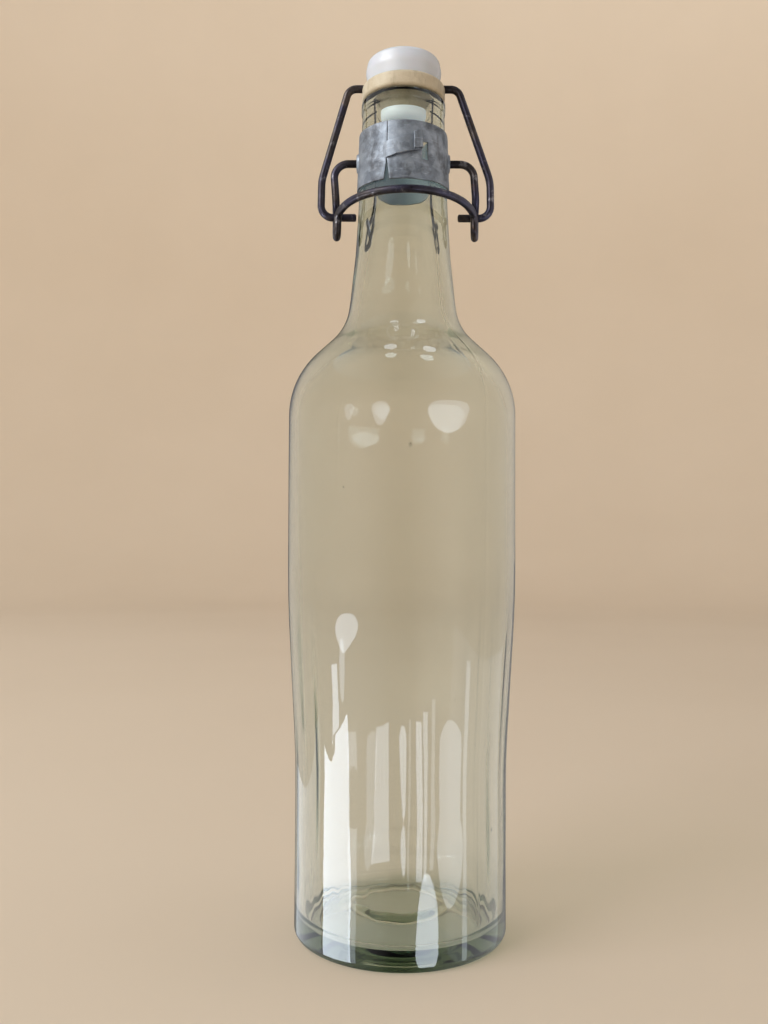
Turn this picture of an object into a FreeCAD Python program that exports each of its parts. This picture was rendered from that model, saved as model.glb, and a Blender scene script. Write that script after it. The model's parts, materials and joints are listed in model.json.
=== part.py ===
import FreeCAD, Part
import math
import os
import Sketcher

# Half-litre swing top bottle, standing upright. Millimetres, +Z up, origin at the centre of the base.
# The front, where the strap is locked and the lever's arch crosses the neck, faces -Y.
# Both hinge lines of the closure and the stopper's cross hole run along X.

SIZES = {
    # glass, outside
    "body_radius": 35.5,
    "waist_radius": 32.6,
    "waist_low": 53.0,
    "waist_high": 103.0,
    "waist_round": 300.0,
    "heel_round": 2.0,
    "ring_inner_radius": 25.0,
    "punt_radius": 13.0,
    "punt_height": 5.0,
    "punt_round": 9.0,
    "shoulder_height": 170.1,
    "shoulder_round": 25.6,
    "neck_foot_radius": 17.74,
    "neck_foot_height": 186.9,
    "neck_foot_round": 17.3,
    "neck_mid_radius": 14.67,
    "neck_mid_height": 210.1,
    "neck_mid_round": 300.0,
    "finish_radius": 13.05,
    "finish_height": 255.0,
    "bead_radius": 13.35,
    "bead_low": 255.8,
    "bead_round": 1.3,
    "lip_height": 259.5,
    # glass, inside
    "wall": 3.2,
    "floor_height": 5.0,
    "floor_centre_height": 9.5,
    "floor_round": 7.0,
    "neck_wall": 3.8,
    "cavity_neck_drop": 2.0,
    "bore_radius": 8.5,
    "bore_foot_height": 228.0,
    "lip_round": 1.6,
    # strap round the neck
    "strap_gap": 0.05,
    "strap_thickness": 0.6,
    "strap_low": 229.9,
    "strap_high": 248.3,
    "seam_offset": 5.1,
    "seam_gap": 0.15,
    "seam_half_mouth": 1.1,
    "seam_mouth_height": 236.3,
    "tongue_reach": 5.6,
    "tongue_low": 236.4,
    "tongue_high": 241.6,
    "tongue_rise": 2.7,
    "tongue_thickness": 0.6,
    "fold_left": 2.8,
    "fold_right": 5.0,
    "fold_low": 238.4,
    "fold_high": 244.6,
    "fold_thickness": 1.2,
    "slot_left": 5.4,
    "slot_right": 7.3,
    "slot_low": 236.4,
    "slot_high": 241.9,
    "boss_root": 6.0,
    "boss_reach": 14.9,
    "boss_foot_radius": 3.1,
    "boss_tip_radius": 2.4,
    # wires and hinge lines
    "wire_radius": 1.2,
    "hole_radius": 1.28,
    "wire_end_chamfer": 0.35,
    "pivot_height": 240.1,
    "crank": 17.1,
    "over_centre": 3.0,
    "side_shift": 0.9,
    # lever
    "pin_end": 13.9,
    "lever_bend": 4.5,
    "leg_offset": 22.3,
    "leg_lean": 0.3,
    "leg_low": 228.5,
    "leg_round": 5.0,
    "eye_half_gap": 2.5,
    "eye_high": 224.5,
    "eye_bottom": 216.8,
    "arm_round": 3.0,
    "arch_foot_offset": 19.9,
    "arch_foot_forward": 6.0,
    "arch_foot_height": 223.7,
    "arch_forward": 19.5,
    "arch_height": 224.8,
    # yoke
    "pin_height": 264.4,
    "yoke_shoulder": 17.4,
    "yoke_shoulder_round": 3.2,
    "yoke_knee_offset": 26.9,
    "yoke_knee_drop": 29.5,
    "yoke_knee_round": 14.0,
    "yoke_foot_offset": 27.1,
    "yoke_foot_round": 3.8,
    "left_hook_end": 15.8,
    "right_hook_end": 16.6,
    # stopper
    "head_low": 264.6,
    "head_foot_radius": 11.1,
    "head_radius": 12.1,
    "head_middle": 269.0,
    "head_shoulder_radius": 11.3,
    "head_shoulder_height": 272.9,
    "head_top": 273.8,
    "head_round": 5.0,
    "head_edge_round": 1.8,
    "head_foot_round": 0.7,
    "stem_radius": 6.0,
    "nose_radius": 7.2,
    "nose_end": 251.0,
    "nose_round": 3.0,
    # seal
    "seal_radius": 13.2,
    "seal_gap": 0.08,
    "seal_round": 1.1,
    "plug_end": 255.2,
    "plug_end_radius": 7.2,
    "plug_radius": 7.6,
    "plug_round": 1.5,
    "stem_gap": 0.05,
}

doc = FreeCAD.newDocument("swing_top_bottle")


def make_sheet():
    """Spreadsheet of the driving dimensions, one aliased cell each."""
    cells = doc.addObject("Spreadsheet::Sheet", "sizes")
    for row, (alias, value) in enumerate(SIZES.items(), start=1):
        cells.set(f"A{row}", alias)
        cells.set(f"B{row}", str(value))
        cells.setAlias(f"B{row}", alias)
    doc.recompute()
    return cells


sheet = make_sheet()


def number(expression):
    """Value of a sum of sheet cells, such as 'body_radius - wall', or of '0'."""
    total = 0.0
    sign = 1.0
    for word in expression.split():
        if word in ("+", "-"):
            sign = 1.0 if word == "+" else -1.0
        elif word != "0":
            total += sign * float(sheet.get(word))
    return total


def bound(expression):
    """The same sum written for FreeCAD's expression engine."""
    words = expression.split()
    return " ".join(word if word in ("+", "-") else "sizes." + word for word in words)


# ---------------------------------------------------------------- sketch and feature helpers

def new_body(name):
    body = doc.addObject("PartDesign::Body", name)
    body.Label = name
    return body


def new_sketch(body, name, role):
    """Empty sketch on one of the body's own origin planes."""
    sketch = body.newObject("Sketcher::SketchObject", name)
    plane = next(item for item in body.Origin.OriginFeatures if item.Role == role)
    sketch.AttachmentSupport = [(plane, "")]
    sketch.MapMode = "FlatFace"
    return sketch


def place_point(sketch, geometry, x, y):
    """Fix a geometry's first point at x, y. Each is a sum of sheet cells, or '0' for the axis."""
    for kind, axis, expression in (("DistanceX", -2, x), ("DistanceY", -1, y)):
        if expression == "0":
            sketch.addConstraint(Sketcher.Constraint("PointOnObject", geometry, 1, axis))
        else:
            rule = Sketcher.Constraint(kind, -1, 1, geometry, 1, number(expression))
            index = sketch.addConstraint(rule)
            sketch.setExpression(f"Constraints[{index}]", bound(expression))


def corner_arc(corner, back, ahead, radius):
    """Arc tangent to both sides of a corner, and whether the outline turns left there."""
    half_angle = back.getAngle(ahead) / 2
    bisector = (back + ahead).normalize()
    centre = corner + bisector * (radius / math.sin(half_angle))
    arrive = corner + back * (radius / math.tan(half_angle)) - centre
    leave = corner + ahead * (radius / math.tan(half_angle)) - centre
    turns_left = ahead.cross(back).z > 0
    first, last = (arrive, leave) if turns_left else (leave, arrive)
    circle = Part.Circle(centre, FreeCAD.Vector(0, 0, 1), radius)
    return Part.ArcOfCircle(circle, math.atan2(first.y, first.x), math.atan2(last.y, last.x)), turns_left


def round_corner(sketch, line_in, line_out, corner, radius):
    """Join two lines by a tangent arc, their crossing point staying at the corner."""
    x, y = corner
    point = FreeCAD.Vector(number(x), number(y), 0)
    ends = sketch.Geometry[line_in].StartPoint, sketch.Geometry[line_out].EndPoint
    back, ahead = ((end - point).normalize() for end in ends)
    arc, turns_left = corner_arc(point, back, ahead, number(radius))
    index = sketch.addGeometry(arc, False)
    arrive, leave = (1, 2) if turns_left else (2, 1)
    sketch.addConstraint(Sketcher.Constraint("Tangent", line_in, 2, index, arrive))
    sketch.addConstraint(Sketcher.Constraint("Tangent", line_out, 1, index, leave))
    rule = sketch.addConstraint(Sketcher.Constraint("Radius", index, number(radius)))
    sketch.setExpression(f"Constraints[{rule}]", bound(radius))
    crossing = sketch.addGeometry(Part.Point(point), True)
    place_point(sketch, crossing, x, y)
    sketch.addConstraint(Sketcher.Constraint("PointOnObject", crossing, 1, line_in))
    sketch.addConstraint(Sketcher.Constraint("PointOnObject", crossing, 1, line_out))


def shortened(start, end, rounds):
    """Line between two corners, pulled back a little from each corner that is rounded."""
    heading = (end - start).normalize()
    pull = min((end - start).Length / 4, 5)
    return Part.LineSegment(start + heading * (pull * rounds[0]), end - heading * (pull * rounds[1]))


def draw_outline(sketch, corners):
    """Closed outline through corners given as sheet expressions: (x, y), or (x, y, radius) if round."""
    points = [FreeCAD.Vector(number(corner[0]), number(corner[1]), 0) for corner in corners]
    rounds = [len(corner) == 3 for corner in corners]
    count = len(points)
    for index in range(count):
        after = (index + 1) % count
        line = shortened(points[index], points[after], (rounds[index], rounds[after]))
        sketch.addGeometry(line, False)
    for index, corner in enumerate(corners):
        before = (index - 1) % count
        if rounds[index]:
            round_corner(sketch, before, index, corner[:2], corner[2])
        else:
            sketch.addConstraint(Sketcher.Constraint("Coincident", before, 2, index, 1))
            place_point(sketch, index, *corner)


def turn(body, kind, name, corners):
    """Revolution or Groove of an outline about the bottle's axis."""
    sketch = new_sketch(body, name + "_outline", "XZ_Plane")
    draw_outline(sketch, corners)
    feature = body.newObject("PartDesign::" + kind, name)
    feature.Profile = sketch
    feature.ReferenceAxis = (sketch, ["V_Axis"])
    feature.Angle = 360
    sketch.Visibility = False
    doc.recompute()
    return feature


def round_rings(body, name, corners, radius):
    """Fillet the circular edges that pass through the given (radius, height) corners."""
    base = body.Tip
    chosen = []
    for index, edge in enumerate(base.Shape.Edges, start=1):
        if not isinstance(edge.Curve, Part.Circle):
            continue
        for ring_radius, ring_height in corners:
            near_radius = abs(edge.Curve.Radius - number(ring_radius)) < 1e-3
            near_height = abs(edge.Curve.Center.z - number(ring_height)) < 1e-3
            if near_radius and near_height:
                chosen.append(f"Edge{index}")
    if len(chosen) != len(corners):
        raise RuntimeError(f"{name}: found {len(chosen)} of {len(corners)} edges")
    fillet = body.newObject("PartDesign::Fillet", name)
    fillet.Base = (base, chosen)
    fillet.setExpression("Radius", bound(radius))
    doc.recompute()
    return fillet


def cross_hole(body, name):
    """Round hole along X for the yoke's wire."""
    before = body.Shape.Volume
    sketch = new_sketch(body, name + "_outline", "YZ_Plane")
    circle = Part.Circle(FreeCAD.Vector(0, number("pin_height"), 0), FreeCAD.Vector(0, 0, 1),
                         number("hole_radius"))
    sketch.addGeometry(circle, False)
    sketch.addConstraint(Sketcher.Constraint("PointOnObject", 0, 3, -2))
    height = sketch.addConstraint(Sketcher.Constraint("DistanceY", -1, 1, 0, 3, number("pin_height")))
    sketch.setExpression(f"Constraints[{height}]", bound("pin_height"))
    radius = sketch.addConstraint(Sketcher.Constraint("Radius", 0, number("hole_radius")))
    sketch.setExpression(f"Constraints[{radius}]", bound("hole_radius"))
    pocket = body.newObject("PartDesign::Pocket", name)
    pocket.Profile = sketch
    pocket.Type = "ThroughAll"
    pocket.Midplane = True
    sketch.Visibility = False
    doc.recompute()
    if body.Shape.Volume > before - 1.0:
        raise RuntimeError(f"{name} cuts nothing")


# ---------------------------------------------------------------- turned pieces

def make_bottle():
    """Blown glass bottle: a turned solid, hollowed by a turned cavity."""
    body = new_body("bottle")
    turn(body, "Revolution", "glass", [
        ("0", "punt_height"),
        ("punt_radius", "punt_height"),
        ("ring_inner_radius", "0"),
        ("waist_radius", "0"),
        ("waist_radius", "waist_low", "waist_round"),
        ("body_radius", "waist_high", "waist_round"),
        ("body_radius", "shoulder_height"),
        ("neck_foot_radius", "neck_foot_height"),
        ("neck_mid_radius", "neck_mid_height", "neck_mid_round"),
        ("finish_radius", "finish_height"),
        ("bead_radius", "bead_low"),
        ("bead_radius", "lip_height"),
        ("0", "lip_height"),
    ])
    round_rings(body, "shoulder", [("body_radius", "shoulder_height")], "shoulder_round")
    round_rings(body, "neck_foot", [("neck_foot_radius", "neck_foot_height")], "neck_foot_round")
    round_rings(body, "punt", [("punt_radius", "punt_height")], "punt_round")

    turn(body, "Groove", "cavity", [
        ("0", "floor_centre_height"),
        ("punt_radius", "floor_centre_height"),
        ("ring_inner_radius", "floor_height"),
        ("waist_radius - wall", "floor_height"),
        ("waist_radius - wall", "waist_low", "waist_round"),
        ("body_radius - wall", "waist_high", "waist_round"),
        ("body_radius - wall", "shoulder_height - cavity_neck_drop"),
        ("neck_foot_radius - neck_wall", "neck_foot_height - cavity_neck_drop"),
        ("neck_mid_radius - neck_wall", "neck_mid_height"),
        ("bore_radius", "bore_foot_height"),
        ("bore_radius", "lip_height"),
        ("0", "lip_height"),
    ])
    round_rings(body, "cavity_shoulder",
                [("body_radius - wall", "shoulder_height - cavity_neck_drop")], "shoulder_round - wall")
    round_rings(body, "cavity_neck_foot",
                [("neck_foot_radius - neck_wall", "neck_foot_height - cavity_neck_drop")],
                "neck_foot_round")
    round_rings(body, "cavity_floor",
                [("waist_radius - wall", "floor_height")], "floor_round - wall")
    round_rings(body, "cavity_punt", [("punt_radius", "floor_centre_height")], "punt_round")
    round_rings(body, "heel", [("waist_radius", "0")], "heel_round")
    round_rings(body, "ring_edge", [("ring_inner_radius", "0")], "lip_round")
    round_rings(body, "bead", [("bead_radius", "bead_low"), ("bead_radius", "lip_height")],
                "bead_round")
    round_rings(body, "mouth", [("bore_radius", "lip_height")], "lip_round")
    return body


def make_stopper():
    """Glazed porcelain stopper: domed head, stem, rounded nose that enters the bore."""
    body = new_body("stopper")
    turn(body, "Revolution", "porcelain", [
        ("0", "nose_end"),
        ("nose_radius", "nose_end"),
        ("nose_radius", "plug_end - stem_gap"),
        ("stem_radius", "plug_end - stem_gap"),
        ("stem_radius", "head_low"),
        ("head_foot_radius", "head_low"),
        ("head_radius", "head_middle"),
        ("head_shoulder_radius", "head_shoulder_height"),
        ("0", "head_top"),
    ])
    round_rings(body, "nose", [("nose_radius", "nose_end")], "nose_round")
    round_rings(body, "head_waist", [("head_radius", "head_middle")], "head_round")
    round_rings(body, "head_edge", [("head_shoulder_radius", "head_shoulder_height")],
                "head_edge_round")
    round_rings(body, "head_foot", [("head_foot_radius", "head_low")], "head_foot_round")
    cross_hole(body, "stopper_hole")
    return body


def make_seal():
    """Rubber seal: thick flange on the lip, tapered plug in the mouth, bored for the stem."""
    body = new_body("seal")
    turn(body, "Revolution", "rubber", [
        ("stem_radius + stem_gap", "plug_end"),
        ("plug_end_radius", "plug_end"),
        ("plug_radius", "lip_height + seal_gap"),
        ("seal_radius", "lip_height + seal_gap"),
        ("seal_radius", "head_low - stem_gap"),
        ("stem_radius + stem_gap", "head_low - stem_gap"),
    ])
    round_rings(body, "flange_edges",
                [("seal_radius", "lip_height + seal_gap"), ("seal_radius", "head_low - stem_gap")],
                "seal_round")
    round_rings(body, "plug_root", [("plug_radius", "lip_height + seal_gap")], "plug_round")
    cross_hole(body, "seal_hole")
    return body


# ---------------------------------------------------------------- strap round the neck

def strap_cone(name, offset):
    """Solid cone over the strap's height, a given distance outside the glass."""
    taper = "(sizes.finish_radius - sizes.neck_mid_radius)"
    length = "(sizes.finish_height - sizes.neck_mid_height)"
    cone = doc.addObject("Part::Cone", name)
    for end, height in (("Radius1", "sizes.strap_low"), ("Radius2", "sizes.strap_high")):
        rise = f"({height} - sizes.neck_mid_height)"
        cone.setExpression(end, f"sizes.neck_mid_radius + {taper} * {rise} / {length} + {bound(offset)}")
    cone.setExpression("Height", bound("strap_high - strap_low"))
    cone.setExpression(".Placement.Base.z", bound("strap_low"))
    return cone


def front_prism(name, corners):
    """Prism from the axis out through the front of the strap, from corners as sheet expressions."""
    sketch = doc.addObject("Sketcher::SketchObject", name + "_outline")
    sketch.Placement = FreeCAD.Placement(FreeCAD.Vector(), FreeCAD.Rotation(FreeCAD.Vector(1, 0, 0), 90))
    draw_outline(sketch, corners)
    prism = doc.addObject("Part::Extrusion", name)
    prism.Base = sketch
    prism.Dir = (0, -1, 0)
    prism.setExpression("LengthFwd", bound("body_radius"))
    prism.Solid = True
    sketch.Visibility = False
    return prism


def boolean(kind, name, *shapes):
    """Part::Cut, Part::Common or Part::MultiFuse of the given objects."""
    feature = doc.addObject("Part::" + kind, name)
    if kind == "MultiFuse":
        feature.Shapes = list(shapes)
    else:
        feature.Base, feature.Tool = shapes
    for shape in shapes:
        shape.Visibility = False
    return feature


def side_boss(name, side):
    """Raised eyelet on one side of the strap, where a lever pin enters."""
    boss = doc.addObject("Part::Cone", name)
    boss.setExpression("Radius1", bound("boss_foot_radius"))
    boss.setExpression("Radius2", bound("boss_tip_radius"))
    boss.setExpression("Height", bound("boss_reach - boss_root"))
    boss.Placement.Rotation = FreeCAD.Rotation(FreeCAD.Vector(0, 1, 0), 90 * side)
    boss.setExpression(".Placement.Base.x", f"{side} * sizes.boss_root")
    boss.setExpression(".Placement.Base.z", bound("pivot_height"))
    return boss


def make_strap():
    """Sheet strap wrapped round the neck, its ends locked by a tongue folded back from a slot."""
    inner = strap_cone("strap_inside", "strap_gap")
    outer = strap_cone("strap_outside", "strap_gap + strap_thickness")
    tongue_skin = strap_cone("tongue_outside", "strap_gap + strap_thickness + tongue_thickness")
    fold_skin = strap_cone("fold_outside", "strap_gap + strap_thickness + fold_thickness")

    tongue = front_prism("tongue", [
        ("- tongue_reach", "tongue_low"),
        ("fold_right", "tongue_low + tongue_rise"),
        ("fold_right", "tongue_high + tongue_rise"),
        ("- tongue_reach", "tongue_high"),
    ])
    fold = front_prism("fold", [
        ("fold_left", "fold_low"),
        ("fold_right", "fold_low"),
        ("fold_right", "fold_high"),
        ("fold_left", "fold_high"),
    ])
    slot = front_prism("slot", [
        ("slot_left", "slot_low"),
        ("slot_right", "slot_low"),
        ("slot_right", "slot_high"),
        ("slot_left", "slot_high"),
    ])
    seam = front_prism("seam", [
        ("- seam_offset - seam_half_mouth", "strap_low - seam_half_mouth"),
        ("seam_half_mouth - seam_offset", "strap_low - seam_half_mouth"),
        ("seam_gap - seam_offset", "seam_mouth_height"),
        ("seam_gap - seam_offset", "strap_high + seam_half_mouth"),
        ("- seam_offset", "strap_high + seam_half_mouth"),
        ("- seam_offset", "seam_mouth_height"),
    ])

    open_strap = boolean("Cut", "open_strap", outer, seam)
    tongue_layer = boolean("Common", "tongue_layer", tongue_skin, tongue)
    fold_layer = boolean("Common", "fold_layer", fold_skin, fold)
    bosses = [side_boss("right_boss", 1), side_boss("left_boss", -1)]
    metal = boolean("MultiFuse", "strap_metal", open_strap, tongue_layer, fold_layer, *bosses)
    slotted = boolean("Cut", "slotted_strap", metal, slot)
    hollow = boolean("Cut", "hollow_strap", slotted, inner)

    hole = doc.addObject("Part::Cylinder", "pin_holes")
    hole.setExpression("Radius", bound("hole_radius"))
    hole.setExpression("Height", "2 * sizes.body_radius")
    hole.Placement.Rotation = FreeCAD.Rotation(FreeCAD.Vector(0, 1, 0), 90)
    hole.setExpression(".Placement.Base.x", "-sizes.body_radius")
    hole.setExpression(".Placement.Base.z", bound("pivot_height"))
    strap = boolean("Cut", "neck_collar", hollow, hole)
    strap.Label = "neck_collar"
    return strap


# ---------------------------------------------------------------- bent wires

def rounded_edges(corners, radii):
    """Straight edges between corners, with an arc of the given radius at each inner corner."""
    edges = []
    start = corners[0]
    for index in range(1, len(corners) - 1):
        corner = corners[index]
        back = (corners[index - 1] - corner).normalize()
        ahead = (corners[index + 1] - corner).normalize()
        half_angle = back.getAngle(ahead) / 2
        radius = radii[index - 1]
        reach = radius / math.tan(half_angle)
        bisector = (back + ahead).normalize()
        centre = corner + bisector * (radius / math.sin(half_angle))
        arc_start = corner + back * reach
        arc_end = corner + ahead * reach
        edges.append(Part.LineSegment(start, arc_start).toShape())
        edges.append(Part.Arc(arc_start, centre - bisector * radius, arc_end).toShape())
        start = arc_end
    edges.append(Part.LineSegment(start, corners[-1]).toShape())
    return edges


def bent_wire(name, edges):
    """Round wire swept along connected edges, with both cut ends chamfered."""
    path = Part.Wire(Part.sortEdges(edges)[0])
    first = path.OrderedEdges[0]
    start = first.firstVertex(True).Point
    heading = first.tangentAt(first.FirstParameter)
    section = Part.Wire(Part.makeCircle(number("wire_radius"), start, heading))
    solid = path.makePipeShell([section], True, False)
    end_edges = []
    for face in solid.Faces:
        if isinstance(face.Surface, Part.Plane):
            end_edges.extend(face.Edges)
    solid = solid.makeChamfer(number("wire_end_chamfer"), end_edges)
    wire = doc.addObject("Part::Feature", name)
    wire.Label = name
    wire.Shape = solid
    wire.Placement = FreeCAD.Placement()
    return wire


def hook_place():
    """Y and Z of the hook in the lever's eye: just behind the pivot, so the closure locks over centre."""
    lean = math.radians(number("over_centre"))
    back = number("crank") * math.sin(lean)
    height = number("pivot_height") - number("crank") * math.cos(lean)
    return back, height


def make_lever():
    """Lower wire: a pin in each side of the strap, a leg and a hairpin eye each side, front arch."""
    hook_back, _ = hook_place()
    eye_back = hook_back + number("eye_half_gap")
    eye_front = hook_back - number("eye_half_gap")
    eye_bottom = number("eye_bottom")
    pivot = number("pivot_height")
    shift = FreeCAD.Vector(number("side_shift"), 0, 0)

    crown = FreeCAD.Vector(0, -number("arch_forward"), number("arch_height")) + shift
    feet = []
    for side in (1, -1):
        foot = FreeCAD.Vector(side * number("arch_foot_offset"), -number("arch_foot_forward"),
                              number("arch_foot_height"))
        feet.append(foot + shift)
    arch = Part.Arc(feet[0], crown, feet[1]).toShape()

    edges = [arch]
    radii = [number("lever_bend"), number("leg_round"), number("leg_round")]
    radii += [number("eye_half_gap"), number("eye_half_gap"), number("arm_round")]
    for side, foot, end in ((1, feet[0], arch.FirstParameter), (-1, feet[1], arch.LastParameter)):
        heading = arch.tangentAt(end)
        arm_top = foot + heading * ((eye_front - foot.y) / heading.y)
        leg = side * number("leg_offset")
        low_leg = leg + shift.x
        edges += rounded_edges([
            FreeCAD.Vector(side * number("pin_end"), 0, pivot),
            FreeCAD.Vector(leg, 0, pivot),
            FreeCAD.Vector(low_leg, number("leg_lean"), number("leg_low")),
            FreeCAD.Vector(low_leg, eye_back, number("eye_high")),
            FreeCAD.Vector(low_leg, eye_back, eye_bottom),
            FreeCAD.Vector(arm_top.x, eye_front, eye_bottom),
            arm_top,
            foot,
        ], radii)
    return bent_wire("lever_bail", edges)


def make_yoke():
    """Upper wire: straight through the stopper, a bowed leg and an inward hook each side."""
    hook_back, hook_height = hook_place()
    drop = number("pin_height") - hook_height
    leg_length = math.hypot(drop, hook_back)
    shift = number("side_shift")

    def on_yoke(across, down):
        """Point in the yoke's plane, which leans from the stopper's hole to the hooks."""
        share = down / leg_length
        return FreeCAD.Vector(across, share * hook_back, number("pin_height") - share * drop)

    radii = [number("yoke_shoulder_round"), number("yoke_knee_round"), number("yoke_foot_round")]
    edges = []
    for side, hook_end in ((1, number("right_hook_end")), (-1, number("left_hook_end"))):
        edges += rounded_edges([
            on_yoke(0, 0),
            on_yoke(side * number("yoke_shoulder"), 0),
            on_yoke(side * number("yoke_knee_offset") + shift, number("yoke_knee_drop")),
            on_yoke(side * number("yoke_foot_offset") + shift, leg_length),
            on_yoke(side * hook_end + shift, leg_length),
        ], radii)
    return bent_wire("yoke_bail", edges)


# ---------------------------------------------------------------- build, check, write

def check_document():
    """Stop if any object failed to compute."""
    for item in doc.Objects:
        if "Invalid" in item.State or "Error" in item.State:
            raise RuntimeError(f"{item.Name} is {item.State}")


def check_solid(piece):
    if piece.Shape.isNull() or not piece.Shape.isValid() or len(piece.Shape.Solids) != 1:
        raise RuntimeError(f"{piece.Label} is not one valid solid")


pieces = [make_bottle(), make_strap(), make_lever(), make_yoke(), make_stopper(), make_seal()]
doc.recompute()
check_document()
for piece in pieces:
    check_solid(piece)

os.makedirs("parts", exist_ok=True)
for piece in pieces:
    piece.Shape.exportStep(f"parts/{piece.Label}.step")
    print(piece.Label, round(piece.Shape.Volume), "mm3")
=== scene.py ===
import json
import math

import bmesh
import bpy
from mathutils import Matrix, Vector, noise


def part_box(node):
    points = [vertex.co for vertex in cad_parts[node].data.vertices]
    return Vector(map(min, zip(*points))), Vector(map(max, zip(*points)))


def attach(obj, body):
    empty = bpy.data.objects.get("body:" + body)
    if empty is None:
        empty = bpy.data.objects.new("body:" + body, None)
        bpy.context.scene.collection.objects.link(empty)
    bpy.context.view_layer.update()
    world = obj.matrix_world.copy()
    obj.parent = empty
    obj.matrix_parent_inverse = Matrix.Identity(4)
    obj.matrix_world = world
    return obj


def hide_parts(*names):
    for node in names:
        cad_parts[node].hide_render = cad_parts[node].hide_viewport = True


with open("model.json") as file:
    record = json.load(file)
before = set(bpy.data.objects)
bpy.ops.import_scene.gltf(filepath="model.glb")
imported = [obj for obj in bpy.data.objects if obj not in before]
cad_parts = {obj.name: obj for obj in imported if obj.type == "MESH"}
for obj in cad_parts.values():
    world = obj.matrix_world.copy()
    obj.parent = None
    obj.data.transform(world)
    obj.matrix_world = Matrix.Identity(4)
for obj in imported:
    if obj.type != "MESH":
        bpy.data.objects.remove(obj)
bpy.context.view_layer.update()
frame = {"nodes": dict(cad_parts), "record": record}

MM = 0.001
GLASS_BODY = "glass_body"

# Driving sizes in millimetres. Those that the frame holds are read from it.
lowest_bottle, highest_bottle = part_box("bottle")
lowest_strap, highest_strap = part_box("neck_collar")
BODY_RADIUS = highest_bottle[0] / MM
LIP_HEIGHT = highest_bottle[2] / MM
STRAP_LOW = lowest_strap[2] / MM
STRAP_HIGH = highest_strap[2] / MM
WAIST_RADIUS = 32.6
WAIST_HEIGHT = 53.0
FULL_WIDTH_HEIGHT = 103.0
WALL = 3.2
BORE_RADIUS = 8.5
BEAD_RADIUS = 13.35
NECK_WALL = 3.8
# Outside points of the neck and the base, as (radius, height).
NECK_MIDDLE = (14.67, 210.1)
FINISH = (13.05, 255.0)
NECK_FOOT = (17.74, 186.9)
PUSH_UP = (13.0, 5.0)
SHOULDER_HEIGHT = 170.1
BASE_RING_RADIUS = 25.0
FLOOR_HEIGHT = 5.0
FLOOR_DOME_HEIGHT = 9.5
# Roundings of the outline.
GENTLE_CURVE = 300.0
SHOULDER_ROUNDING = 25.6
NECK_FOOT_ROUNDING = 17.3
PUSH_UP_ROUNDING = 9.0
BEAD_ROUNDING = 1.3


# ---------------------------------------------------------------- outlines and turned meshes

ARC_STEP = math.radians(5)


def rounded_outline(corners, longest=3.0):
    """Points along straight runs and corner arcs. A corner is (radius, height, rounding) in mm."""
    points = [Vector(corners[0][:2])]

    def straight_to(target):
        start = points[-1]
        pieces = max(1, math.ceil((target - start).length / longest))
        points.extend(start.lerp(target, step / pieces) for step in range(1, pieces + 1))

    for index in range(1, len(corners)):
        corner = Vector(corners[index][:2])
        rounding = corners[index][2]
        if rounding == 0 or index == len(corners) - 1:
            straight_to(corner)
            continue
        back = (Vector(corners[index - 1][:2]) - corner).normalized()
        ahead = (Vector(corners[index + 1][:2]) - corner).normalized()
        half_angle = back.angle(ahead) / 2
        centre = corner + (back + ahead).normalized() * (rounding / math.sin(half_angle))
        straight_to(corner + back * (rounding / math.tan(half_angle)))
        arm = points[-1] - centre
        sweep = math.pi - 2 * half_angle
        if back.x * ahead.y - back.y * ahead.x > 0:
            sweep = -sweep
        steps = max(2, math.ceil(abs(sweep) / ARC_STEP))
        for step in range(1, steps + 1):
            points.append(centre + Matrix.Rotation(sweep * step / steps, 2) @ arm)
    return points


def even_angles(count):
    """Angles in equal steps once round, from 0."""
    return [2 * math.pi * step / count for step in range(count)]


def cylinder_point(angle, radius, height):
    """Point in metres at an angle round Z, a radius and a height in mm. Angle 0 faces -Y."""
    return Vector((radius * math.sin(angle), -radius * math.cos(angle), height)) * MM


def add_lathe(mesh, outline, angles, shift=None):
    """Turn an outline about Z. Angle 0 faces -Y. Points on the axis become poles."""
    rings = []
    for index, point in enumerate(outline):
        on_axis = point.x < 1e-6
        if on_axis:
            rings.append([mesh.verts.new((0, 0, point.y * MM))])
            continue
        ring = []
        for angle in angles:
            radius = (point.x + (shift(angle, point.y, index) if shift else 0)) * MM
            ring.append(mesh.verts.new((radius * math.sin(angle), -radius * math.cos(angle), point.y * MM)))
        rings.append(ring)
    count = len(angles)
    for low, high in zip(rings, rings[1:]):
        for step in range(count):
            after = (step + 1) % count
            if len(low) == 1:
                mesh.faces.new((low[0], high[after], high[step]))
            elif len(high) == 1:
                mesh.faces.new((low[step], low[after], high[0]))
            else:
                mesh.faces.new((low[step], low[after], high[after], high[step]))


def link_mesh(mesh, name, material):
    """Turn a bmesh into a smooth-shaded object."""
    data = bpy.data.meshes.new(name)
    mesh.to_mesh(data)
    mesh.free()
    data.materials.append(material)
    data.polygons.foreach_set("use_smooth", [True] * len(data.polygons))
    made = bpy.data.objects.new(name, data)
    bpy.context.scene.collection.objects.link(made)
    return made


def fade(value, low, high):
    """0 below low, 1 above high, smooth between."""
    share = min(1.0, max(0.0, (value - low) / (high - low)))
    return share * share * (3 - 2 * share)


def ripple(angle, height, seed, across, along):
    """Smooth noise between -1 and 1 over a turned wall, joined up all the way round."""
    return noise.noise(Vector((math.sin(angle) * across, math.cos(angle) * across, height * along + seed)))


# ---------------------------------------------------------------- node material helpers

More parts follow.
